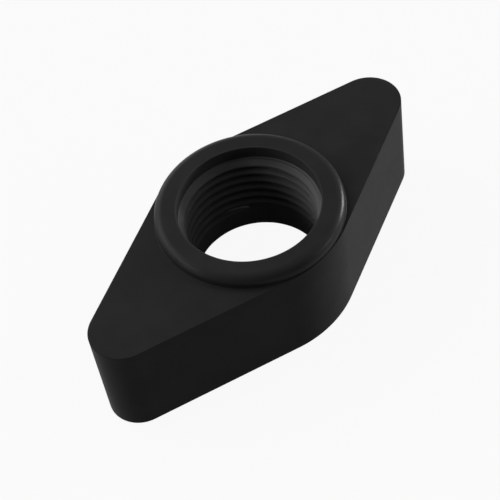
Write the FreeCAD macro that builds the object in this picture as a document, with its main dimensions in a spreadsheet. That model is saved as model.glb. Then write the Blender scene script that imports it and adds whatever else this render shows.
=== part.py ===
import FreeCAD, Part
import math
import os

import Sketcher

# Adapter nut, moulded in one piece: a long rhombic grip with rounded ends, a round boss nearly as wide
# as its waist, and a threaded bore right through. Millimetres. Origin on the bore's axis at the
# underside, +Z up through the boss, +X towards one end of the grip.

NODE = "adapter_nut"

# Driving sizes: name, value and what it is. Lengths in millimetres, angles in degrees.
SIZES = [
    ("half_length", 33.4, "bore's axis to the tip of either end"),
    ("end_radius", 5.3, "rounded end of the grip, seen from above"),
    ("waist_arc_radius", 18.4, "broad curve of the waist, seen from above"),
    ("waist_ledge", 0.1, "top face left beside the boss at the waist's middle"),
    ("body_height", 17.6, "underside to the grip's top face"),
    ("side_draft", 1.0, "the sides lean in towards the underside"),
    ("foot_edge_radius", 0.15, "outer edge of the underside"),
    ("boss_wall", 3.6, "wall round the counterbore, which sets the boss and the waist"),
    ("boss_height", 2.0, "boss above the grip's top face"),
    ("boss_land", 0.5, "straight foot of the boss, under its rounded edge"),
    ("thread_major_radius", 11.1125, "seven-eighths inch thread, over its roots"),
    ("thread_depth", 0.88, "root to crest, so that the crests stand at the bore's wall"),
    ("counterbore_clearance", 0.09, "counterbore round the mating thread"),
    ("counterbore_depth", 2.2, "boss face to the foot of the counterbore"),
    ("mouth_edge_radius", 0.2, "inner edge of the boss face"),
    ("lead_angle", 45.0, "slope of both lead-in cones from the boss face's plane"),
    ("underside_lead_depth", 2.1, "lead-in cone at the underside"),
]

FLAT_TOLERANCE = 1e-6
FULL_TURN = 360


def size(name):
    """The words by which an expression reads one size from the sheet."""
    return "<<sizes>>." + name


COUNTERBORE_RADIUS = f"({size('thread_major_radius')} + {size('counterbore_clearance')})"
BOSS_RADIUS = f"({COUNTERBORE_RADIUS} + {size('boss_wall')})"
WAIST_HALF_WIDTH = f"({BOSS_RADIUS} + {size('waist_ledge')})"
CREST_RADIUS = f"({size('thread_major_radius')} - {size('thread_depth')})"
TOTAL_HEIGHT = f"({size('body_height')} + {size('boss_height')})"


def make_sheet(doc):
    """One row for each driving size: its name, its value under an alias, and a note."""
    sheet = doc.addObject("Spreadsheet::Sheet", "sizes")
    for row, (name, value, note) in enumerate(SIZES, start=1):
        sheet.set(f"A{row}", name)
        sheet.set(f"B{row}", str(value))
        sheet.setAlias(f"B{row}", name)
        sheet.set(f"C{row}", note)
    doc.recompute()
    return sheet


def origin_plane(body, role):
    """The body's own origin plane of that role."""
    return next(f for f in body.Origin.OriginFeatures if f.Role == role)


def add_sketch(body, name, role):
    """A sketch of the body, laid on one of its origin planes."""
    sketch = body.newObject("Sketcher::SketchObject", name)
    sketch.AttachmentSupport = [(origin_plane(body, role), "")]
    sketch.MapMode = "FlatFace"
    return sketch


def bind(sketch, constraint, name, expression):
    """Adds a dimension to the sketch, names it and binds it to the sheet."""
    index = sketch.addConstraint(constraint)
    sketch.renameConstraint(index, name)
    sketch.setExpression(f"Constraints.{name}", expression)


def boss_radius(sheet):
    """Outer radius of the boss, in numbers."""
    return sheet.thread_major_radius + sheet.counterbore_clearance + sheet.boss_wall


def draw_outline(sketch, sheet):
    """The grip from above: two end arcs and two waist arcs, joined by four straight sides tangent to them."""
    centre = sheet.half_length - sheet.end_radius
    # The waist arcs are broader than the waist, so each is centred beyond the bore's axis.
    beyond = sheet.waist_arc_radius - boss_radius(sheet) - sheet.waist_ledge
    spread = math.hypot(centre, beyond)
    lean = math.asin((sheet.waist_arc_radius - sheet.end_radius) / spread) - math.atan2(beyond, centre)
    waist = sheet.waist_arc_radius

    def at(x, y, radius, angle):
        return FreeCAD.Vector(x + radius * math.cos(angle), y + radius * math.sin(angle), 0)

    def arc(x, y, radius, first, last):
        circle = Part.Circle(FreeCAD.Vector(x, y, 0), FreeCAD.Vector(0, 0, 1), radius)
        return sketch.addGeometry(Part.ArcOfCircle(circle, first, last), False)

    def side(start, end):
        return sketch.addGeometry(Part.LineSegment(start, end), False)

    # Angles at which a side leaves an arc, for the four quarters in turn.
    quarter = math.pi / 2
    leave = [quarter - lean, quarter + lean, -quarter - lean, -quarter + lean]
    tip = sheet.end_radius
    right_end = arc(centre, 0, tip, leave[3], leave[0])
    far_side_right = side(at(centre, 0, tip, leave[0]), at(0, -beyond, waist, leave[0]))
    far_waist = arc(0, -beyond, waist, leave[0], leave[1])
    far_side_left = side(at(0, -beyond, waist, leave[1]), at(-centre, 0, tip, leave[1]))
    left_end = arc(-centre, 0, tip, leave[1], leave[2] + 2 * math.pi)
    near_side_left = side(at(-centre, 0, tip, leave[2]), at(0, beyond, waist, leave[2]))
    near_waist = arc(0, beyond, waist, leave[2], leave[3])
    near_side_right = side(at(0, beyond, waist, leave[3]), at(centre, 0, tip, leave[3]))

    start, end, middle = 1, 2, 3
    ring = [
        (right_end, far_side_right),
        (far_side_right, far_waist),
        (far_waist, far_side_left),
        (far_side_left, left_end),
        (left_end, near_side_left),
        (near_side_left, near_waist),
        (near_waist, near_side_right),
        (near_side_right, right_end),
    ]
    for first, second in ring:
        sketch.addConstraint(Sketcher.Constraint("Tangent", first, end, second, start))
    sketch.addConstraint(Sketcher.Constraint("Equal", far_waist, near_waist))
    sketch.addConstraint(Sketcher.Constraint("Equal", right_end, left_end))
    sketch.addConstraint(Sketcher.Constraint("PointOnObject", near_waist, middle, -2))
    sketch.addConstraint(Sketcher.Constraint("PointOnObject", right_end, middle, -1))
    for first, second in ((far_waist, near_waist), (right_end, left_end)):
        sketch.addConstraint(
            Sketcher.Constraint("Symmetric", first, middle, second, middle, -1, 1)
        )
    bind(
        sketch,
        Sketcher.Constraint("Radius", far_waist, waist),
        "waist_arc_radius",
        size("waist_arc_radius"),
    )
    bind(
        sketch,
        Sketcher.Constraint("DistanceY", -1, 1, near_waist, middle, beyond),
        "waist_arc_centre",
        f"{size('waist_arc_radius')} - {WAIST_HALF_WIDTH}",
    )
    bind(
        sketch,
        Sketcher.Constraint("Radius", right_end, sheet.end_radius),
        "end_radius",
        size("end_radius"),
    )
    bind(
        sketch,
        Sketcher.Constraint("DistanceX", -1, 1, right_end, middle, centre),
        "end_centre",
        f"{size('half_length')} - {size('end_radius')}",
    )


def draw_bore(sketch, sheet):
    """Half of the bore's section, from the axis outwards: counterbore, cone, straight wall and cone."""
    crest = sheet.thread_major_radius - sheet.thread_depth
    counterbore = sheet.thread_major_radius + sheet.counterbore_clearance
    top = sheet.body_height + sheet.boss_height
    foot = top - sheet.counterbore_depth
    slope = math.tan(math.radians(sheet.lead_angle))
    lead = sheet.underside_lead_depth
    corners = [
        (0, 0),
        (crest + lead / slope, 0),
        (crest, lead),
        (crest, foot - (counterbore - crest) * slope),
        (counterbore, foot),
        (counterbore, top),
        (0, top),
    ]
    points = [FreeCAD.Vector(x, y, 0) for x, y in corners]
    count = len(points)
    for index in range(count):
        following = points[(index + 1) % count]
        sketch.addGeometry(Part.LineSegment(points[index], following), False)
    floor, underside_cone, wall, upper_cone, counterbore_wall, mouth, axis = range(count)
    start, end = 1, 2
    for index in range(count):
        following = (index + 1) % count
        sketch.addConstraint(Sketcher.Constraint("Coincident", index, end, following, start))
    sketch.addConstraint(Sketcher.Constraint("Coincident", floor, start, -1, 1))
    for level in (floor, mouth):
        sketch.addConstraint(Sketcher.Constraint("Horizontal", level))
    for upright in (wall, counterbore_wall, axis):
        sketch.addConstraint(Sketcher.Constraint("Vertical", upright))
    lead_angle = f"tan({size('lead_angle')} * 1 deg)"
    widening = f"({COUNTERBORE_RADIUS} - {CREST_RADIUS})"
    dimensions = [
        ("crest_radius", "DistanceX", wall, start, CREST_RADIUS),
        ("counterbore_radius", "DistanceX", counterbore_wall, start, COUNTERBORE_RADIUS),
        ("total_height", "DistanceY", mouth, start, TOTAL_HEIGHT),
        (
            "underside_radius",
            "DistanceX",
            underside_cone,
            start,
            f"{CREST_RADIUS} + {size('underside_lead_depth')} / {lead_angle}",
        ),
        ("underside_lead", "DistanceY", wall, start, size("underside_lead_depth")),
        (
            "counterbore_foot",
            "DistanceY",
            counterbore_wall,
            start,
            f"{TOTAL_HEIGHT} - {size('counterbore_depth')}",
        ),
        (
            "thread_top",
            "DistanceY",
            upper_cone,
            start,
            f"{TOTAL_HEIGHT} - {size('counterbore_depth')} - {widening} * {lead_angle}",
        ),
    ]
    for name, kind, line, point, expression in dimensions:
        corner = points[line]
        value = corner.x if kind == "DistanceX" else corner.y
        constraint = Sketcher.Constraint(kind, -1, 1, line, point, value)
        bind(sketch, constraint, name, expression)


def upright_faces(shape):
    """Names of the side faces, whose outward direction is level."""
    names = []
    for index, face in enumerate(shape.Faces, start=1):
        u0, u1, v0, v1 = face.ParameterRange
        normal = face.normalAt((u0 + u1) / 2, (v0 + v1) / 2)
        if abs(normal.z) < FLAT_TOLERANCE:
            names.append(f"Face{index}")
    return names


def level_face(shape, height):
    """Name of the level face at that height."""
    for index, face in enumerate(shape.Faces, start=1):
        box = face.BoundBox
        if abs(box.ZMin - height) < FLAT_TOLERANCE and abs(box.ZMax - height) < FLAT_TOLERANCE:
            return f"Face{index}"
    raise RuntimeError(f"no level face at {height}")


def level_edges(shape, height, inner, outer):
    """Names of the level edges at that height that lie between two distances from the axis."""
    names = []
    for index, edge in enumerate(shape.Edges, start=1):
        box = edge.BoundBox
        level = abs(box.ZMin - height) < FLAT_TOLERANCE and abs(box.ZMax - height) < FLAT_TOLERANCE
        middle = edge.valueAt((edge.FirstParameter + edge.LastParameter) / 2)
        if level and inner < math.hypot(middle.x, middle.y) < outer:
            names.append(f"Edge{index}")
    return names


def add_fillet(doc, body, name, base, edges, radius):
    """A rounded edge of the body, with its radius bound to the sheet."""
    fillet = body.newObject("PartDesign::Fillet", name)
    fillet.Base = (base, edges)
    fillet.setExpression("Radius", radius)
    doc.recompute()
    return fillet


def make_nut(doc, sheet):
    """The grip, its boss and its bore, as one solid."""
    body = doc.addObject("PartDesign::Body", NODE)
    body.Label = NODE
    doc.recompute()

    # Grip: the outline carried up to the top face, with its sides leaning in towards the underside.
    outline = add_sketch(body, "grip_outline", "XY_Plane")
    draw_outline(outline, sheet)
    doc.recompute()
    grip = body.newObject("PartDesign::Pad", "grip")
    grip.Profile = outline
    grip.setExpression("Length", size("body_height"))
    doc.recompute()
    leaning = body.newObject("PartDesign::Draft", "leaning_sides")
    leaning.Base = (grip, upright_faces(grip.Shape))
    leaning.NeutralPlane = (grip, [level_face(grip.Shape, sheet.body_height)])
    leaning.setExpression("Angle", size("side_draft"))
    leaning.Reversed = True
    doc.recompute()
    if leaning.Shape.Volume >= grip.Shape.Volume:
        raise RuntimeError("the sides lean out towards the underside")
    foot_edges = level_edges(leaning.Shape, 0, 0, sheet.half_length)
    foot = add_fillet(doc, body, "foot_edge", leaning, foot_edges, size("foot_edge_radius"))

    # Boss: a disc almost as wide as the waist, its outer edge rounded over most of the disc's height.
    circle = add_sketch(body, "boss_outline", "XY_Plane")
    circle.setExpression("AttachmentOffset.Base.z", size("body_height"))
    outer = boss_radius(sheet)
    ring = circle.addGeometry(Part.Circle(FreeCAD.Vector(0, 0, 0), FreeCAD.Vector(0, 0, 1), outer), False)
    circle.addConstraint(Sketcher.Constraint("Coincident", ring, 3, -1, 1))
    bind(circle, Sketcher.Constraint("Radius", ring, outer), "boss_radius", BOSS_RADIUS)
    doc.recompute()
    boss = body.newObject("PartDesign::Pad", "boss")
    boss.Profile = circle
    boss.setExpression("Length", size("boss_height"))
    doc.recompute()
    if boss.Shape.Volume <= foot.Shape.Volume:
        raise RuntimeError("the boss adds nothing")
    top = sheet.body_height + sheet.boss_height
    rim = level_edges(boss.Shape, top, 0, sheet.half_length)
    rounded = f"{size('boss_height')} - {size('boss_land')}"
    boss_edge = add_fillet(doc, body, "boss_edge", boss, rim, rounded)

    # Bore: one turned section, right through.
    section = add_sketch(body, "bore_section", "XZ_Plane")
    draw_bore(section, sheet)
    doc.recompute()
    bore = body.newObject("PartDesign::Groove", "bore")
    bore.Profile = section
    bore.ReferenceAxis = (section, ["V_Axis"])
    bore.Angle = FULL_TURN
    doc.recompute()
    if bore.Shape.Volume >= boss_edge.Shape.Volume:
        raise RuntimeError("the bore cuts nothing")
    mouth = level_edges(bore.Shape, top, 0, sheet.thread_major_radius + sheet.boss_wall / 4)
    add_fillet(doc, body, "mouth_edge", bore, mouth, size("mouth_edge_radius"))

    body.Placement = FreeCAD.Placement()
    doc.recompute()
    return body


def check(doc, bodies):
    """Stops if any object failed, or if a sub-part isn't one valid solid."""
    for item in doc.Objects:
        if "Invalid" in item.State or "Error" in item.State:
            raise RuntimeError(f"{item.Name} failed: {item.State}")
    for body in bodies:
        shape = body.Shape
        if shape.isNull() or not shape.isValid() or len(shape.Solids) != 1:
            raise RuntimeError(f"{body.Label} isn't one valid solid")


def main():
    """Builds the document, checks it and writes each sub-part."""
    doc = FreeCAD.newDocument("adapter_nut")
    sheet = make_sheet(doc)
    bodies = [make_nut(doc, sheet)]
    check(doc, bodies)
    os.makedirs("parts", exist_ok=True)
    for body in bodies:
        body.Shape.exportStep(f"parts/{body.Label}.step")
        box = body.Shape.optimalBoundingBox()
        print(
            f"{body.Label}: {box.XLength:.2f} x {box.YLength:.2f} x {box.ZLength:.2f} mm, "
            f"{body.Shape.Volume:.0f} cubic mm"
        )


main()
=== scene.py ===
"""Visual model of the adapter nut: one moulding in satin black plastic with its screw thread.

The nut is a single surface. Its section is a closed line that runs over the boss, out across
the grip, down the side, under the foot and up through the bore, and that line is carried
round the bore's axis. Lengths in the classes are millimetres; the meshes are metres.
"""

import logging
import math
from collections.abc import Sequence
from dataclasses import dataclass, field
from enum import Enum

import bmesh
import bpy
import numpy as np
from mathutils import Matrix, Vector

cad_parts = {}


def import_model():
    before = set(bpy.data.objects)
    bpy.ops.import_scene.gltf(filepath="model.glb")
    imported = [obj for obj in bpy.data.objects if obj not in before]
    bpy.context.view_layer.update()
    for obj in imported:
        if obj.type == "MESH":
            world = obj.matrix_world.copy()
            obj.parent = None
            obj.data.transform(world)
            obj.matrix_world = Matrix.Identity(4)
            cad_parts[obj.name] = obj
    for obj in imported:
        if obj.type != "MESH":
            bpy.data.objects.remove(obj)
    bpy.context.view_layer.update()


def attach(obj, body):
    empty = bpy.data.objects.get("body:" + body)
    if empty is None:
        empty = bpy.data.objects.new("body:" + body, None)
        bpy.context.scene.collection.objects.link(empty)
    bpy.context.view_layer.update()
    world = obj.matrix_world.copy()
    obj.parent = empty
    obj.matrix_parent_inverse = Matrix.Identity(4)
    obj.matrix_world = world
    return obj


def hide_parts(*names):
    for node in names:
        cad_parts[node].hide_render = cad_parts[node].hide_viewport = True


Array = np.ndarray
Node = bpy.types.Node
Socket = bpy.types.NodeSocket
Feed = Socket | float | tuple[float, ...]
Inputs = dict[str | int, Feed]

MM = 0.001
TURN = 2.0 * math.pi
QUARTER = math.pi / 2.0

# Sizes that two of the nut's parts share: both of the bore's cones open by the same angle.
GRIP_HEIGHT = 17.6
COUNTERBORE_RADIUS = 11.2025
CONE = math.radians(45.0)

# Worn edges are marked on the mesh under this name, with its limits rounded by this much; on the
# crown the grey laid there is partly a painted highlight.
WEAR_AND_SHEEN_ATTRIBUTE = "edge_wear_and_sheen"
WEAR_AND_SHEEN_SOFTNESS = 0.1

# Most of a noise pattern's values lie between these two.
NOISE_RANGE = (0.35, 0.65)

# Pixels along a side of the square photograph, and millimetres along the camera's sensor.
PHOTO_SIDE = 500
SENSOR_WIDTH = 36.0

LOG = logging.getLogger("adapter_nut")


class Face(Enum):
    """The finishes of the moulding's faces, numbered as the mesh's material slots.

    CROWN is the outside seen from above, SIDE the sides with the underside, FLANK the
    thread's groove with the upper cone, WALL its crests with the smooth wall and the lower
    cone, and STEP the counterbore with its mouth. FLANK, WALL and STEP are painted light: lighter
    greys that stand for the light reaching into the bore.
    """

    CROWN = 0
    SIDE = 1
    FLANK = 2
    WALL = 3
    STEP = 4


class Sum(Enum):
    """What a maths node makes of its two numbers."""

    PRODUCT = "MULTIPLY"
    LARGER = "MAXIMUM"


class Blend(Enum):
    """What a mix node blends."""

    NUMBER = "FLOAT"
    COLOUR = "RGBA"


class Course(Enum):
    """How a value goes from one end of its range to the other."""

    STRAIGHT = "LINEAR"
    SMOOTH = "SMOOTHSTEP"


def as_column(values: Sequence[float] | Array) -> Array:
    """Values set one per row, ready to spread over the angles."""
    return np.asarray(values, dtype=float)[:, None]


def bends(rows: int, whole: float = QUARTER) -> Array:
    """Angles at the rows of a round, in even steps from 0 to the whole bend."""
    return as_column(np.linspace(0.0, whole, rows))


def between(start: float | Array, end: float | Array, shares: Sequence[float]) -> Array:
    """Values at some shares of the way from a start to an end, one share per row."""
    return start + as_column(shares) * (end - start)


def column_angles(count: int, crowding: float) -> Array:
    """Angles of the columns round the bore's axis, closer together at the grip's two ends.

    The angle is u less half of crowding times the sine of 2u, for even steps of u.

    Args:
        count: Columns in a whole turn.
        crowding: Share by which the steps shrink at the ends and grow at the waist.

    Returns:
        count + 1 angles in radians, from 0 to a whole turn.
    """
    steps = np.linspace(0.0, TURN, count + 1)
    return steps - 0.5 * crowding * np.sin(2.0 * steps)


def rounded_clamp(value: Array, softness: float) -> Array:
    """Clamps a value to 0..1 with rounded corners.

    It is half of one plus the difference of two rounded magnitudes, the root of x squared
    plus softness squared, taken at the value and at the value less one.

    Args:
        value: Values to clamp.
        softness: Size of the rounding, as a share of the slope's width.

    Returns:
        The clamped values.
    """
    low = np.sqrt(value**2 + softness**2)
    high = np.sqrt((value - 1.0) ** 2 + softness**2)
    return 0.5 * (1.0 + low - high)


def rounded_larger(first: Array, second: Array, softness: float) -> Array:
    """The larger of two values, with the change from one to the other rounded.

    It is half of their sum plus the root of their difference squared plus softness squared.

    Args:
        first: One set of values.
        second: The other set.
        softness: Size of the rounding, in the values' own unit.

    Returns:
        The larger values.
    """
    return 0.5 * (first + second + np.sqrt((first - second) ** 2 + softness**2))


def rubbing_and_sheen(bend: Array, strength: float) -> Array:
    """Worn share along a round, which on the crown also lays a painted highlight: strength times
    the sine of twice the bend, clamped to 0..1.
    """
    return rounded_clamp(strength * np.sin(2.0 * bend), WEAR_AND_SHEEN_SOFTNESS)


def grey(level: float) -> tuple[float, float, float, float]:
    """An opaque grey of a linear level."""
    return (level, level, level, 1.0)


@dataclass(frozen=True)
class Rows:
    """Rows of the section, one line per row and one column per angle.

    radius and height are millimetres from the bore's axis and from the underside. wear is 1
    on an edge that hands and tools rub, where the crown's lighter grey is partly a painted
    highlight, and face is the number of the finish.
    """

    radius: Array
    height: Array
    wear_and_sheen: Array
    face: Array

    @classmethod
    def of(
        cls, radius: float | Array, height: float | Array, wear_and_sheen: float | Array, face: Face
    ) -> "Rows":
        """Rows whose values are spread over one common shape.

        Args:
            radius: Distances from the axis.
            height: Heights above the underside.
            wear_and_sheen: How worn the edge is, which on the crown also places a painted
                highlight; one number or one per row.
            face: The finish of the stretch.

        Returns:
            The rows.
        """
        spread = np.broadcast_arrays(radius, height, wear_and_sheen, face.value)
        return cls(*(np.array(part, dtype=float) for part in spread))

    @classmethod
    def joined(cls, stretches: list["Rows"]) -> "Rows":
        """All stretches of the section, one after the other."""
        parts = [(part.radius, part.height, part.wear_and_sheen, part.face) for part in stretches]
        return cls(*(np.concatenate(values) for values in zip(*parts)))

    def all_round(self, angles: Array) -> "Rows":
        """The rows, which are the same all round, with a value for every angle."""
        width = np.zeros((1, angles.size))
        return Rows(*(part + width for part in (self.radius, self.height, self.wear_and_sheen, self.face)))


@dataclass(frozen=True)
class Grip:
    """The long rhombic grip: two end arcs and two waist arcs joined by tangent sides.

    The draft is in radians. Where the top face is only crowded wide, its edges are half their
    size. The fields that end in rows count the rows of a round, and those that end in shares
    say where the rows of a straight stretch lie along it.
    """

    half_length: float = 33.4
    end_radius: float = 5.3
    waist_arc: float = 18.4
    half_width: float = 14.9025
    height: float = GRIP_HEIGHT
    draft: float = math.radians(1.0)
    top_edge: float = 0.07
    foot_edge: float = 0.12
    crowded: float = 0.5
    corner_rows: int = 4
    edge_rows: int = 5
    foot_rows: int = 6
    level_shares: tuple[float, ...] = (0.04, 0.3, 0.7, 0.96)
    side_shares: tuple[float, ...] = (0.015, 0.12, 0.3, 0.5, 0.7, 0.88, 0.985)
    under_shares: tuple[float, ...] = (0.03, 0.35, 0.7, 0.97)

    def end_centre(self) -> float:
        """Distance from the bore's axis to the centre of an end arc."""
        return self.half_length - self.end_radius

    def beyond(self) -> float:
        """Distance from the bore's axis to the centre of a waist arc, on the other side."""
        return self.waist_arc - self.half_width

    def side_normal(self) -> float:
        """Polar angle that a straight side faces, in the first quarter of the outline.

        The side touches both arcs, so the line between their centres leans from it by the
        arcsine of the difference of their radii over that line's length.

        Returns:
            The angle in radians.
        """
        spread = math.hypot(self.end_centre(), self.beyond())
        lean = math.asin((self.waist_arc - self.end_radius) / spread)
        return QUARTER - lean + math.atan2(self.beyond(), self.end_centre())

    def reach(self, angles: Array, inset: float | Array) -> Array:
        """Distance from the axis to the outline moved inwards by an inset.

        A side is a line whose reach is its distance from the axis over the cosine of the
        angle to its normal. Each arc is a circle off the axis, reached at its centre's
        projection on the ray plus the root of its radius squared less the centre's distance
        from the ray squared.

        Args:
            angles: Polar angles.
            inset: Distance inwards from the outline of the top face.

        Returns:
            Distances from the axis.
        """
        folded = np.arccos(np.clip(np.abs(np.cos(angles)), 0.0, 1.0))
        normal = self.side_normal()
        centre, beyond = self.end_centre(), self.beyond()
        end, waist = self.end_radius - inset, self.waist_arc - inset
        side = (centre * math.cos(normal) + end) / np.cos(folded - normal)
        drop = np.minimum(centre * np.sin(folded), end)
        tip = centre * np.cos(folded) + np.sqrt(end**2 - drop**2)
        belly = np.sqrt(waist**2 - (beyond * np.cos(folded)) ** 2) - beyond * np.sin(folded)
        leaves_end = np.arctan2(end * math.sin(normal), centre + end * math.cos(normal))
        meets_waist = np.arctan2(waist * math.sin(normal) - beyond, waist * math.cos(normal))
        return np.where(folded < leaves_end, tip, np.where(folded < meets_waist, side, belly))

    def side_inset(self, height: float | Array) -> float | Array:
        """How far the leaning side stands inside the top face's outline at a height."""
        return (self.height - height) * math.tan(self.draft)

    def room(self, angles: Array, start: float) -> Array:
        """Share of a full edge that fits between the boss and the outline, from 0 to 1.

        It is the top face's width over the sum of that width and crowded.

        Args:
            angles: Polar angles.
            start: Radius at which the top face starts.

        Returns:
            The shares.
        """
        width = self.reach(angles, np.zeros(1)) - start
        return width / (width + self.crowded)

    def top_face(self, angles: Array, start: float, corner: float) -> Rows:
        """The level top face with the small inner corner at the boss and the fine outer edge.

        The corner and the edge are quarter circles, both shrunk to the room that there is.

        Args:
            angles: Polar angles.
            start: Radius at which the boss stands on the face.
            corner: Radius of the inner corner.

        Returns:
            The rows, from the boss outwards to the start of the side.
        """
        room = self.room(angles, start)
        inner, edge = corner * room, self.top_edge * room
        bend = bends(self.corner_rows)
        inner_radius = start + inner * (1.0 - np.cos(bend))
        inner_height = self.height + inner * (1.0 - np.sin(bend))
        level = between(start + inner, self.reach(angles, edge), self.level_shares)
        bend = bends(self.edge_rows)
        drop = edge * (1.0 - np.cos(bend))
        lean = self.side_inset(self.height - drop)
        rim = self.reach(angles, edge * (1.0 - np.sin(bend)) + lean)
        return Rows.joined([
            Rows.of(inner_radius, inner_height, 0.0, Face.CROWN),
            Rows.of(level, self.height, 0.0, Face.CROWN),
            Rows.of(rim, self.height - drop, 0.0, Face.SIDE),
        ])

    def side(self, angles: Array, start: float) -> Rows:
        """The leaning side and the rounded foot, which is a quarter circle.

        Args:
            angles: Polar angles.
            start: Radius at which the top face starts, which sets the fine edge's size.

        Returns:
            The rows, from below the top edge to the underside.
        """
        below = self.height - self.top_edge * self.room(angles, start)
        height = between(below, self.foot_edge, self.side_shares)
        wall = self.reach(angles, self.side_inset(height))
        bend = bends(self.foot_rows)
        foot_height = self.foot_edge * (1.0 - np.sin(bend))
        tuck = self.foot_edge * (1.0 - np.cos(bend))
        foot = self.reach(angles, self.side_inset(self.foot_edge) + tuck)
        return Rows.joined([
            Rows.of(wall, height, 0.0, Face.SIDE),
            Rows.of(foot, foot_height, np.sin(2.0 * bend), Face.SIDE),
        ])

    def underside(self, angles: Array, bore: float) -> Rows:
        """The level underside, from the foot in to the bore's lower mouth.

        Args:
            angles: Polar angles.
            bore: Radius of the bore's lower mouth.

        Returns:
            The rows.
        """
        outer = self.reach(angles, self.side_inset(self.foot_edge) + self.foot_edge)
        return Rows.of(between(outer, bore, self.under_shares), 0.0, 0.0, Face.SIDE)


@dataclass(frozen=True)
class Boss:
    """The round boss on the grip, its outer edge rounded over most of its height.

    mouth_wear and edge_wear_and_sheen are the strengths of the worn masks on its two rounds; on
    the outer edge the crown's lighter worn grey is partly a painted highlight.
    """

    radius: float = 14.8025
    base: float = GRIP_HEIGHT
    height: float = 2.0
    edge_radius: float = 1.45
    mouth_radius: float = COUNTERBORE_RADIUS
    mouth_edge: float = 0.12
    mouth_wear: float = 3.0
    edge_wear_and_sheen: float = 1.25
    mouth_rows: int = 7
    edge_rows: int = 16
    ring_shares: tuple[float, ...] = (0.06, 0.5, 0.94)

    def top(self) -> float:
        """Height of the boss's flat ring above the underside."""
        return self.base + self.height

    def rows(self) -> Rows:
        """The mouth's small round, the flat ring, the large edge round and the short land.

        Both rounds are quarter circles: the mouth's bends away from the bore, the edge's
        bends down to the land.

        Returns:
            The rows, from the bore outwards and down to the grip's top face.
        """
        bend = bends(self.mouth_rows)
        inner = self.mouth_radius + self.mouth_edge
        mouth = Rows.of(
            inner - self.mouth_edge * np.cos(bend),
            self.top() - self.mouth_edge * (1.0 - np.sin(bend)),
            rubbing_and_sheen(bend, self.mouth_wear),
            Face.STEP,
        )
        outer = self.radius - self.edge_radius
        ring = Rows.of(between(inner, outer, self.ring_shares), self.top(), 0.0, Face.CROWN)
        bend = bends(self.edge_rows)
        # The edge's worn mask also lays the crown's painted highlight along this round.
        edge = Rows.of(
            outer + self.edge_radius * np.sin(bend),
            self.top() - self.edge_radius * (1.0 - np.cos(bend)),
            rubbing_and_sheen(bend, self.edge_wear_and_sheen),
            Face.CROWN,
        )
        return Rows.joined([mouth, ring, edge])


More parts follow.
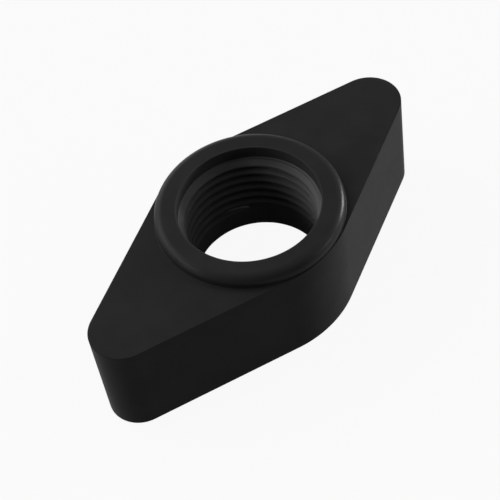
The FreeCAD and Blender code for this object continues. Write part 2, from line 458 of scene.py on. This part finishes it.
@dataclass(frozen=True)
class Bore:
    """The through bore: lead-in cone, smooth wall, right-hand thread, upper cone, counterbore.

    start is the height of a crest's middle at angle 0, and the crests rise by one pitch in a
    turn against the clock's sense, seen from above. The groove starts runs_in turns up from
    there and reaches its depth over fade turns; below it the wall is smooth. root_flat is the
    root's flat as a share of the pitch, and a wall cut deeper than cut_share of the depth has
    the flanks' finish.
    """

    crest_radius: float = 10.2325
    depth: float = 0.88
    pitch: float = 1.814
    flank: float = math.radians(30.0)
    root_flat: float = 0.125
    start: float = 1.54
    softness: float = 0.12
    cone_softness: float = 0.03
    runs_in: float = 2.12
    fade: float = 0.16
    cut_share: float = 0.1
    lower_mouth: float = 12.3325
    lower_edge: float = 0.12
    lower_edge_wear: float = 0.5
    upper_cone: float = 16.43
    counterbore_radius: float = COUNTERBORE_RADIUS
    counterbore_floor: float = 17.4
    counterbore_top: float = 19.48
    turn_rows: int = 16
    turn_crowding: float = 0.012
    lip_rows: int = 4
    lower_shares: tuple[float, ...] = (0.1, 0.4, 0.7, 0.95)
    upper_shares: tuple[float, ...] = (0.3, 0.7)
    upright_shares: tuple[float, ...] = (0.0, 0.02, 0.3, 0.7, 0.96, 1.0)

    def root_radius(self) -> float:
        """Radius at the thread's roots."""
        return self.crest_radius + self.depth

    def lower_cone(self) -> float:
        """Height at which the lower cone meets the crests; it opens by 45 degrees."""
        return self.lower_mouth - self.crest_radius

    def threaded(self) -> tuple[float, float]:
        """Heights between which the roots are cut, where both cones have passed them."""
        return self.lower_mouth - self.root_radius(), self.upper_cone + self.depth

    def profile(self, height: Array, angles: Array) -> Array:
        """Radius of the thread alone.

        The distance from the nearest crest's middle, less half of the crest's flat, over the
        flank's width is clamped to 0..1 and scaled by the depth. The whole turns up to a
        point plus its part of a turn, less runs_in, over fade and clamped as well, is the
        share of the depth that the groove has there.

        Args:
            height: Heights above the underside.
            angles: Polar angles.

        Returns:
            Distances from the axis.
        """
        flank_width = self.depth * math.tan(self.flank)
        flat = (self.pitch - self.root_flat * self.pitch - 2.0 * flank_width) / 2.0
        turns = (height - self.start) / self.pitch - angles / TURN
        away = np.abs(turns - np.round(turns)) * self.pitch
        groove = rounded_clamp((away - flat) / flank_width, self.softness)
        cut = np.clip((np.floor(turns) + angles / TURN - self.runs_in) / self.fade, 0.0, 1.0)
        return self.crest_radius + self.depth * groove * cut

    def wall(self, height: Array, angles: Array) -> Array:
        """Radius of the threaded wall: the thread, or a cone where the cone is wider.

        A cone is as much wider than the crests as the point is past its narrow end.

        Args:
            height: Heights above the underside.
            angles: Polar angles.

        Returns:
            Distances from the axis.
        """
        past = np.maximum(self.lower_cone() - height, height - self.upper_cone)
        cone = self.crest_radius + past
        return rounded_larger(self.profile(height, angles), cone, self.cone_softness)

    def row_turns(self) -> Array:
        """Heights of one pitch's rows over the pitch, crowded at the profile's corners."""
        steps = np.arange(self.turn_rows) / self.turn_rows
        return steps + self.turn_crowding * np.sin(2.0 * TURN * steps)

    def thread_rows(self, angles: Array) -> Rows:
        """The threaded wall. Its rows climb with the thread and are cut off level at both ends.

        A row's height is its own height at angle 0 plus the pitch times the turns so far.

        Args:
            angles: Polar angles.

        Returns:
            The rows, from the bottom up.
        """
        low, high = self.threaded()
        first = math.floor((low - self.start) / self.pitch) - 1
        last = math.ceil((high - self.start) / self.pitch)
        turns = (np.arange(first, last + 1)[:, None] + self.row_turns()[None, :]).ravel()
        height = self.start + self.pitch * (as_column(turns) + angles / TURN)
        height = np.clip(height, low, high)
        wall = self.wall(height, angles)
        cut = wall > self.crest_radius + self.cut_share * self.depth
        return Rows(wall, height, wall * 0.0, np.where(cut, Face.FLANK.value, Face.WALL.value))

    def rows(self, angles: Array) -> Rows:
        """The whole bore, from the underside up to the mouth.

        The lip is an arc from level to the lower cone's slope. The lower cone's radius is the
        mouth's less the height, and the upper cone's is the crests' plus the height above the
        cone's narrow end.

        Args:
            angles: Polar angles.

        Returns:
            The rows.
        """
        low, high = self.threaded()
        bend = bends(self.lip_rows, CONE)
        lip = self.lower_edge
        lip_radius = self.lower_mouth + lip * math.tan(CONE / 2.0) - lip * np.sin(bend)
        lip_height = lip * (1.0 - np.cos(bend))
        lower = between(0.0, low, self.lower_shares)
        below = Rows.joined([
            Rows.of(lip_radius, lip_height, self.lower_edge_wear, Face.WALL),
            Rows.of(self.lower_mouth - lower, lower, 0.0, Face.WALL),
        ])
        upper = between(high, self.counterbore_floor, self.upper_shares)
        upright = between(self.counterbore_floor, self.counterbore_top, self.upright_shares)
        above = Rows.joined([
            Rows.of(self.crest_radius + upper - self.upper_cone, upper, 0.0, Face.FLANK),
            Rows.of(self.counterbore_radius, upright, 0.0, Face.STEP),
        ])
        thread = self.thread_rows(angles)
        return Rows.joined([below.all_round(angles), thread, above.all_round(angles)])


@dataclass(frozen=True)
class Wiring:
    """A shader's node tree, to which nodes are added with their inputs filled."""

    tree: bpy.types.NodeTree

    def fill(self, node: Node, inputs: Inputs) -> None:
        """Links or sets a node's inputs.

        Args:
            node: The node.
            inputs: For an input's name or number, the socket that feeds it or its own value.
        """
        for name, feed in inputs.items():
            if isinstance(feed, Socket):
                self.tree.links.new(feed, node.inputs[name])
            else:
                node.inputs[name].default_value = feed

    def add(self, kind: str, inputs: Inputs) -> Node:
        """Adds a node.

        Args:
            kind: The node's type.
            inputs: What goes into it, as in fill.

        Returns:
            The node.
        """
        node = self.tree.nodes.new(kind)
        self.fill(node, inputs)
        return node

    def noise(self, place: Socket, size: float, detail: float) -> Socket:
        """Adds a noise pattern.

        Args:
            place: Where the point is.
            size: Width of the pattern's cells in millimetres.
            detail: How many finer patterns are laid over it.

        Returns:
            The pattern's value.
        """
        inputs = {"Vector": place, "Scale": 1.0 / (size * MM), "Detail": detail}
        return self.add("ShaderNodeTexNoise", inputs).outputs["Fac"]

    def ranged(
        self,
        value: Socket,
        source: tuple[float, float],
        target: tuple[float, float],
        course: Course = Course.STRAIGHT,
    ) -> Socket:
        """Carries one range of a value over to another, and stops at its two ends.

        Args:
            value: The value.
            source: Both ends of the range that it comes from.
            target: What they become.
            course: How it goes from end to end.

        Returns:
            The new value.
        """
        ends = ("From Min", "From Max", "To Min", "To Max")
        node = self.add("ShaderNodeMapRange", {"Value": value, **dict(zip(ends, source + target))})
        node.interpolation_type = course.value
        return node.outputs["Result"]

    def maths(self, kind: Sum, first: Feed, second: Feed) -> Socket:
        """Adds a sum.

        Args:
            kind: What is made of the two numbers.
            first: The first number.
            second: The second number.

        Returns:
            Its result.
        """
        node = self.add("ShaderNodeMath", {0: first, 1: second})
        node.operation = kind.value
        return node.outputs["Value"]

    def mixed(self, blend: Blend, factor: Socket, first: Feed, second: Feed) -> Socket:
        """Mixes two numbers or colours.

        Args:
            blend: Which of the two they are.
            factor: Share of the second, from 0 to 1.
            first: The one shown at 0.
            second: The one shown at 1.

        Returns:
            The mixture.
        """
        node = self.tree.nodes.new("ShaderNodeMix")
        node.data_type = blend.value
        self.fill(node, {"Factor": factor, "A": first, "B": second})
        return node.outputs["Result"]


@dataclass(frozen=True)
class SatinPlastic:
    """Satin black moulded plastic with a fine spark-eroded grain.

    dark, light and rubbed are linear grey levels; rubbed is laid on worn edges, and on the crown
    it is lighter than the body, partly worn plastic and partly a painted highlight. Roughness goes
    up and down by unevenness with a speckle, and wear_and_sheen_range is how much of the edge mask
    that speckle lets through.
    grain, speckle and cloud are the widths of three patterns, and the fields that end in detail
    say how fine they are. Each kind of face has its own finish. The crown and the sides differ
    mostly in gloss, while the bore's finishes are painted light: the same black plastic given
    greys several times lighter, for the light that reaches into the bore.
    """

    name: str
    dark: float
    light: float
    rubbed_and_sheen: float
    roughness: float
    specular: float
    rubbed_roughness: float = 0.33
    grain: float = 0.28
    grain_detail: float = 2.0
    grain_strength: float = 0.25
    grain_depth: float = 0.012
    speckle: float = 1.12
    speckle_detail: float = 3.0
    wear_and_sheen_range: tuple[float, float] = (0.45, 0.7)
    unevenness: float = 0.045
    cloud: float = 7.0
    cloud_detail: float = 4.0

    def build(self) -> bpy.types.Material:
        """The material: clouded near-black with fine grain and worn edges, whose grey on the crown
        is partly a painted highlight.

        Returns:
            The material.
        """
        material = bpy.data.materials.new(self.name)
        material.use_nodes = True
        wiring = Wiring(material.node_tree)
        place = wiring.add("ShaderNodeTexCoord", {}).outputs["Object"]
        cloud = wiring.noise(place, self.cloud, self.cloud_detail)
        grain = wiring.noise(place, self.grain, self.grain_detail)
        speckle = wiring.noise(place, self.speckle, self.speckle_detail)
        attribute = wiring.add("ShaderNodeAttribute", {})
        attribute.attribute_name = WEAR_AND_SHEEN_ATTRIBUTE
        wear_and_sheen = attribute.outputs["Fac"]

        clouded = wiring.ranged(cloud, NOISE_RANGE, (0.0, 1.0))
        body = wiring.mixed(Blend.COLOUR, clouded, grey(self.dark), grey(self.light))
        # Worn edges take their own grey; on the crown it is lighter than the body, partly a
        # painted highlight.
        shown = wiring.ranged(speckle, NOISE_RANGE, self.wear_and_sheen_range)
        rub_and_sheen = wiring.maths(Sum.PRODUCT, wear_and_sheen, shown)
        colour = wiring.mixed(Blend.COLOUR, rub_and_sheen, body, grey(self.rubbed_and_sheen))

        ends = (self.roughness - self.unevenness, self.roughness + self.unevenness)
        skin = wiring.ranged(speckle, NOISE_RANGE, ends)
        roughness = wiring.mixed(Blend.NUMBER, wear_and_sheen, skin, self.rubbed_roughness)

        bump = wiring.add("ShaderNodeBump", {
            "Distance": self.grain_depth * MM,
            "Strength": self.grain_strength,
            "Height": grain,
        })
        wiring.fill(material.node_tree.nodes["Principled BSDF"], {
            "Base Color": colour,
            "Roughness": roughness,
            "Specular IOR Level": self.specular,
            "Normal": bump.outputs["Normal"],
        })
        return material


# Each kind of face with its finish: name, dark, light, rubbed, roughness, specular. The crown's
# rubbed grey is partly a painted highlight, and the bore's three finishes are painted light.
FINISHES: dict[Face, SatinPlastic] = {
    # The crown's worn grey, lighter than its body, is partly a painted highlight on the boss's
    # rounded edge.
    Face.CROWN: SatinPlastic("satin_crown", 0.0105, 0.0135, 0.018, 0.44, 0.05),
    Face.SIDE: SatinPlastic(
        "satin_side", 0.012, 0.015, 0.0135, 0.46, 0.016, grain_strength=0.04, unevenness=0.01
    ),
    # FLANK, WALL and STEP are painted light: greys two to five times the outside's, standing for
    # the light on the bore's groove, crests and counterbore.
    Face.FLANK: SatinPlastic("satin_flank_painted_light", 0.05, 0.056, 0.053, 0.38, 0.05, grain_strength=0.05),
    Face.WALL: SatinPlastic("satin_wall_painted_light", 0.06, 0.068, 0.064, 0.5, 0.0, grain_strength=0.05),
    Face.STEP: SatinPlastic("satin_step_painted_light", 0.022, 0.026, 0.024, 0.5, 0.0, grain_strength=0.05),
}


@dataclass(frozen=True)
class WhiteFloor:
    """White paper under the nut, which takes its soft shadow.

    share is how much of the white is the paper's own light to the camera and to
    reflections; the rest is lit by the room and carries the shadow.
    """

    name: str = "white_floor"
    white: float = 0.35
    share: float = 0.93

    def build(self) -> bpy.types.Material:
        """The material: matt white, with the background's white for camera and reflections.

        Returns:
            The material.
        """
        material = bpy.data.materials.new(self.name)
        material.use_nodes = True
        nodes = material.node_tree.nodes
        nodes.remove(nodes["Principled BSDF"])
        wiring = Wiring(material.node_tree)
        paper = wiring.add("ShaderNodeBsdfDiffuse", {"Color": grey(self.white)})
        glow = wiring.add("ShaderNodeEmission", {"Color": grey(1.0), "Strength": 1.0})
        path = wiring.add("ShaderNodeLightPath", {})
        seen = path.outputs["Is Camera Ray"]
        for kind in ("Is Glossy Ray", "Is Transmission Ray"):
            seen = wiring.maths(Sum.LARGER, seen, path.outputs[kind])
        mix = wiring.add("ShaderNodeMixShader", {
            "Fac": wiring.maths(Sum.PRODUCT, seen, self.share),
            1: paper.outputs["BSDF"],
            2: glow.outputs["Emission"],
        })
        wiring.fill(nodes["Material Output"], {"Surface": mix.outputs["Shader"]})
        return material


@dataclass(frozen=True)
class NutMoulding:
    """The whole nut: grip, boss and bore as one closed surface.

    Points that are closer together than seam become one.
    """

    name: str = "nut_moulding"
    node: str = "adapter_nut"
    slot: str = "body"
    columns: int = 400
    crowding: float = 0.4
    inner_corner: float = 0.12
    seam: float = 0.001
    grip: Grip = field(default_factory=Grip)
    boss: Boss = field(default_factory=Boss)
    bore: Bore = field(default_factory=Bore)

    def section(self, angles: Array) -> Rows:
        """The closed section at every angle: boss, top face, side, underside and bore.

        Args:
            angles: Polar angles of the columns.

        Returns:
            All rows in order.
        """
        base = self.boss.radius
        return Rows.joined([
            self.boss.rows().all_round(angles),
            self.grip.top_face(angles, base, self.inner_corner),
            self.grip.side(angles, base),
            self.grip.underside(angles, self.bore.lower_mouth + self.bore.lower_edge),
            self.bore.rows(angles),
        ])

    def surface(self) -> tuple[Array, Array, Rows]:
        """Points and quads of the section carried round the axis.

        A point is its radius times the cosine and the sine of its angle, at its height. A
        quad joins two neighbours of a row to the same two of the next row, and the last row
        is joined to the first.

        Returns:
            Points in metres, quads as point numbers, and the rows for wear and finish.
        """
        angles = column_angles(self.columns, self.crowding)
        rows = self.section(angles)
        x = rows.radius * np.cos(angles)
        y = rows.radius * np.sin(angles)
        points = np.stack([x, y, rows.height], axis=-1).reshape(-1, 3) * MM
        count, width = rows.radius.shape
        number = np.arange(count * width).reshape(count, width)
        here, after = number, np.roll(number, -1, axis=0)
        quads = np.stack([here[:, :-1], after[:, :-1], after[:, 1:], here[:, 1:]], axis=-1)
        return points, quads.reshape(-1, 4), rows

    def build(self) -> bpy.types.Object:
        """Puts the surface and its finishes into a mesh, merges the seam, turns faces outwards.

        A face has the finish of the row that it starts from.

        Returns:
            The nut's object, at the origin.
        """
        points, quads, rows = self.surface()
        mesh = bpy.data.meshes.new(self.name)
        mesh.from_pydata(points, [], quads)
        layer = mesh.attributes.new(WEAR_AND_SHEEN_ATTRIBUTE, "FLOAT", "POINT")
        layer.data.foreach_set("value", rows.wear_and_sheen.ravel().astype(np.float32))
        for face in Face:
            mesh.materials.append(FINISHES[face].build())
        mesh.polygons.foreach_set("material_index", rows.face[:, :-1].ravel().astype(np.int32))
        work = bmesh.new()
        work.from_mesh(mesh)
        bmesh.ops.remove_doubles(work, verts=work.verts, dist=self.seam * MM)
        bmesh.ops.recalc_face_normals(work, faces=work.faces)
        open_edges = sum(1 for edge in work.edges if len(edge.link_faces) != 2)
        work.to_mesh(mesh)
        work.free()
        mesh.polygons.foreach_set("use_smooth", np.ones(len(mesh.polygons), dtype=bool))
        mesh.update()
        LOG.info("%s: %d faces, %d open edges", self.name, len(mesh.polygons), open_edges)
        nut = bpy.data.objects.new(self.name, mesh)
        bpy.context.scene.collection.objects.link(nut)
        return nut

    def dress(self, nut: bpy.types.Object) -> None:
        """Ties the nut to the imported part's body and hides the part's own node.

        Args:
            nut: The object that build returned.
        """
        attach(nut, "root")
        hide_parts(self.node)


@dataclass(frozen=True)
class Glow:
    """A soft patch of light in the room, placed by compass angle and height angle.

    width is the angle from its middle to its edge, and strength its brightness in the middle.
    Angles are degrees.
    """

    azimuth: float
    elevation: float
    width: float
    strength: float

    def towards(self) -> tuple[float, float, float]:
        """The direction of its middle."""
        turn, lift = math.radians(self.azimuth), math.radians(self.elevation)
        level = math.cos(lift)
        return (math.cos(turn) * level, math.sin(turn) * level, math.sin(lift))

    def build(self, wiring: Wiring, place: Socket) -> Socket:
        """The patch's light.

        Its brightness is a smooth step over the cosine of the angle to its middle, from the
        cosine of its width up to 1.

        Args:
            wiring: The world's node tree.
            place: The direction that is looked in.

        Returns:
            The light's shader.
        """
        facing = wiring.add("ShaderNodeVectorMath", {0: place, 1: self.towards()})
        facing.operation = "DOT_PRODUCT"
        source = (math.cos(math.radians(self.width)), 1.0)
        target = (0.0, self.strength)
        bright = wiring.ranged(facing.outputs["Value"], source, target, Course.SMOOTH)
        inputs = {"Color": grey(1.0), "Strength": bright}
        return wiring.add("ShaderNodeBackground", inputs).outputs["Background"]


@dataclass(frozen=True)
class Studio:
    """Plain soft light from a room with glowing patches, over the white floor.

    floor_gap keeps the floor just clear of the nut's underside.
    """

    # Azimuth, elevation, width, strength.
    glows: tuple[Glow, ...] = (
        Glow(0.0, 90.0, 50.0, 0.15),
        Glow(50.0, 52.0, 50.0, 0.13),
        Glow(110.0, 52.0, 50.0, 0.49),
        Glow(290.0, 52.0, 50.0, 0.25),
        Glow(350.0, 52.0, 50.0, 0.49),
        Glow(80.0, 18.0, 50.0, 1.41),
        Glow(140.0, 18.0, 50.0, 0.24),
        Glow(320.0, 18.0, 50.0, 0.09),
        Glow(118.0, 28.0, 25.0, 3.45),
        Glow(322.0, 12.0, 25.0, 0.2),
        Glow(20.0, 8.0, 25.0, 0.15),
        Glow(347.0, 1.0, 12.0, 105.0),
        Glow(160.0, 1.0, 10.0, 12.0),
        Glow(100.0, 45.0, 25.0, 1.85),
        Glow(70.0, 10.0, 25.0, 1.88),
        Glow(148.0, 29.0, 11.0, 14.0),
        Glow(306.0, 10.0, 9.0, 20.0),
    )
    room_name: str = "room"
    floor_name: str = "floor"
    floor_radius: float = 3000.0
    floor_gap: float = 0.02
    floor_rings: int = 12
    floor_columns: int = 96
    floor: WhiteFloor = field(default_factory=WhiteFloor)

    def build_floor(self) -> bpy.types.Object:
        """A level disc under the nut: rings of points whose radius grows as a square.

        Returns:
            The floor's object.
        """
        rings, columns = self.floor_rings, self.floor_columns
        radius = self.floor_radius * MM * np.linspace(0.0, 1.0, rings + 1)[1:, None] ** 2
        angles = np.linspace(0.0, TURN, columns, endpoint=False)
        level = np.full((rings, columns), -self.floor_gap * MM)
        ring_points = np.stack([radius * np.cos(angles), radius * np.sin(angles), level], axis=-1)
        points = np.vstack([ring_points.reshape(-1, 3), [[0.0, 0.0, -self.floor_gap * MM]]])
        number = np.arange(rings * columns).reshape(rings, columns)
        beside = np.roll(number, -1, axis=1)
        quads = np.stack([number[:-1], number[1:], beside[1:], beside[:-1]], axis=-1)
        middle = np.full(columns, rings * columns)
        fan = np.stack([middle, number[0], beside[0]], axis=-1)
        mesh = bpy.data.meshes.new(self.floor_name)
        mesh.from_pydata(points, [], quads.reshape(-1, 4).tolist() + fan.tolist())
        mesh.materials.append(self.floor.build())
        floor = bpy.data.objects.new(self.floor_name, mesh)
        bpy.context.scene.collection.objects.link(floor)
        return floor

    def build_room(self) -> None:
        """The world: dark, with the glowing patches added up."""
        world = bpy.data.worlds.new(self.room_name)
        bpy.context.scene.world = world
        world.use_nodes = True
        nodes = world.node_tree.nodes
        nodes.remove(nodes["Background"])
        wiring = Wiring(world.node_tree)
        place = wiring.add("ShaderNodeTexCoord", {}).outputs["Generated"]
        total, *others = [glow.build(wiring, place) for glow in self.glows]
        for light in others:
            total = wiring.add("ShaderNodeAddShader", {0: total, 1: light}).outputs["Shader"]
        wiring.fill(nodes["World Output"], {"Surface": total})

    def build(self) -> None:
        """Sets the colour view, the room and the floor."""
        bpy.context.scene.view_settings.view_transform = "Standard"
        self.build_room()
        floor = self.build_floor()
        LOG.info("%s in a room with %d glows", floor.name, len(self.glows))


@dataclass(frozen=True)
class PhotoCamera:
    """The photograph's camera, solved from the nut's own edges.

    aim is the point in the middle of the picture and distance the way back from it. heading,
    lift and roll are degrees, and focal is the focal length in pixels. Only what lies between
    near and far is seen.
    """

    name: str = "photo_camera"
    aim: tuple[float, float, float] = (-3.740, -2.830, 13.944)
    distance: float = 291.2
    heading: float = -39.672
    lift: float = 51.330
    roll: float = -10.403
    focal: float = 1900.9
    near: float = 10.0
    far: float = 20000.0

    def build(self) -> bpy.types.Object:
        """Sets up the camera and makes it the scene's.

        Its back, right and up directions come from heading and lift, and right and up are
        then turned by the roll.

        Returns:
            The camera's object.
        """
        heading, lift, roll = (math.radians(a) for a in (self.heading, self.lift, self.roll))
        back = Vector((
            math.sin(heading) * math.cos(lift),
            -math.cos(heading) * math.cos(lift),
            math.sin(lift),
        ))
        level = Vector((math.cos(heading), math.sin(heading), 0.0))
        upright = back.cross(level)
        right = math.cos(roll) * level + math.sin(roll) * upright
        up = math.cos(roll) * upright - math.sin(roll) * level
        lens = bpy.data.cameras.new(self.name)
        lens.sensor_width = SENSOR_WIDTH
        lens.lens = self.focal / PHOTO_SIDE * SENSOR_WIDTH
        lens.clip_start = self.near * MM
        lens.clip_end = self.far * MM
        camera = bpy.data.objects.new(self.name, lens)
        place = (Vector(self.aim) + back * self.distance) * MM
        turned = Matrix((right, up, back)).transposed().to_4x4()
        camera.matrix_world = Matrix.Translation(place) @ turned
        bpy.context.scene.collection.objects.link(camera)
        bpy.context.scene.camera = camera
        return camera


def main() -> None:
    logging.basicConfig(level=logging.INFO, format="%(name)s: %(message)s")
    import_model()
    camera = PhotoCamera().build()
    LOG.info("%s set up", camera.name)
    moulding = NutMoulding()
    nut = moulding.build()
    moulding.dress(nut)
    LOG.info("%s dressed", nut.name)
    Studio().build()


if __name__ == "__main__":
    main()
